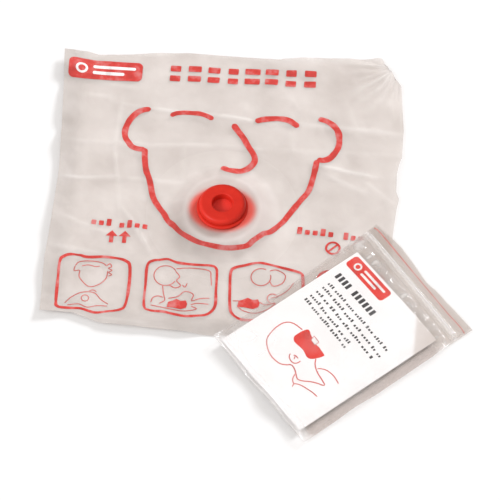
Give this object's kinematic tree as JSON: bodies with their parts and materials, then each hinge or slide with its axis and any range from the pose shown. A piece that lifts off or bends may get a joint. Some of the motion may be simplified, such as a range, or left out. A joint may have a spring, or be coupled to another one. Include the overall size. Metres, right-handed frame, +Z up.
{
  "type": "resuscitation face shield",
  "caption": "Thin printed face shield film with a round one-way mouth valve, lying with its press-seal pouch and folded leaflet.",
  "frame": {"origin": "on the valve's axis, on the plane the shield rests on, which is the underside of the flap cage's hub", "axes": "+Z up along the valve's axis, out of the rescuer's side; +Y towards the shield's forehead edge; +X to the shield's right seen from above"},
  "size_m": [0.2614, 0.2737, 0.014],
  "materials": {
    "shield_film": "frosted, crinkled, see-through",
    "seal_patch": "frosted",
    "valve_plastic": "satin moulded",
    "flap_silicone": "matt",
    "pouch_film": "clear glossy film",
    "zip_plastic": "glossy",
    "zip_line": "glossy",
    "leaflet_paper": "matt white paper"
  },
  "bodies": {
    "shield": {"film_valve_panel": "shield_film", "film_seal_ring": "seal_patch", "lip_flange": "valve_plastic", "flap_cage": "valve_plastic", "clamp_ring": "valve_plastic", "mouthpiece": "valve_plastic"},
    "flap": {"valve_flap": "flap_silicone"},
    "brow_panel": {"film_brow_panel": "shield_film"},
    "top_panel": {"film_top_panel": "shield_film"},
    "pouch": {"pouch_back_film": "pouch_film", "pouch_front_film": "pouch_film", "zip_rib_strip": "zip_plastic"},
    "pouch_mouth": {"pouch_mouth_film": "pouch_film", "zip_channel_strip": "zip_plastic"},
    "pouch_lip": {"pouch_front_lip": "pouch_film", "zip_colour_line": "zip_line"},
    "leaflet": {"leaflet_back_leaf": "leaflet_paper", "leaflet_front_leaf": "leaflet_paper"}
  },
  "joints": [
    {"name": "flap_drop", "type": "slide", "parent": "shield", "child": "flap", "axis": [0, 0, -1], "range_m": [0, 0.002]},
    {"name": "brow_fold", "type": "hinge", "parent": "shield", "child": "brow_panel", "pos_m": [0, 0.058, 0.00045], "axis": [1, 0, 0], "range_deg": [0, 150]},
    {"name": "top_fold", "type": "hinge", "parent": "brow_panel", "child": "top_panel", "pos_m": [0, 0.0925, 0.00045], "axis": [1, 0, 0], "range_deg": [0, 170]},
    {"name": "pouch_lift", "type": "slide", "parent": "shield", "child": "pouch", "axis": [0, 0, 1], "range_m": [0, 0.06]},
    {"name": "mouth_open", "type": "hinge", "parent": "pouch", "child": "pouch_mouth", "pos_m": [0.07841, -0.0777, 0.0076], "axis": [0.6561, -0.7547, 0], "range_deg": [0, 28]},
    {"name": "leaflet_slide", "type": "slide", "parent": "pouch", "child": "leaflet", "axis": [0.7547, 0.6561, 0], "range_m": [0, 0.085]},
    {"name": "lip_flex", "type": "hinge", "parent": "pouch_mouth", "child": "pouch_lip", "pos_m": [0.12068, -0.04096, 0.0029], "axis": [0.6561, -0.7547, 0], "range_deg": [0, 60]}
  ],
  "couplings": [
    {"joint": "leaflet_slide", "follows": "mouth_open", "m_per_rad": 0.1735}
  ]
}
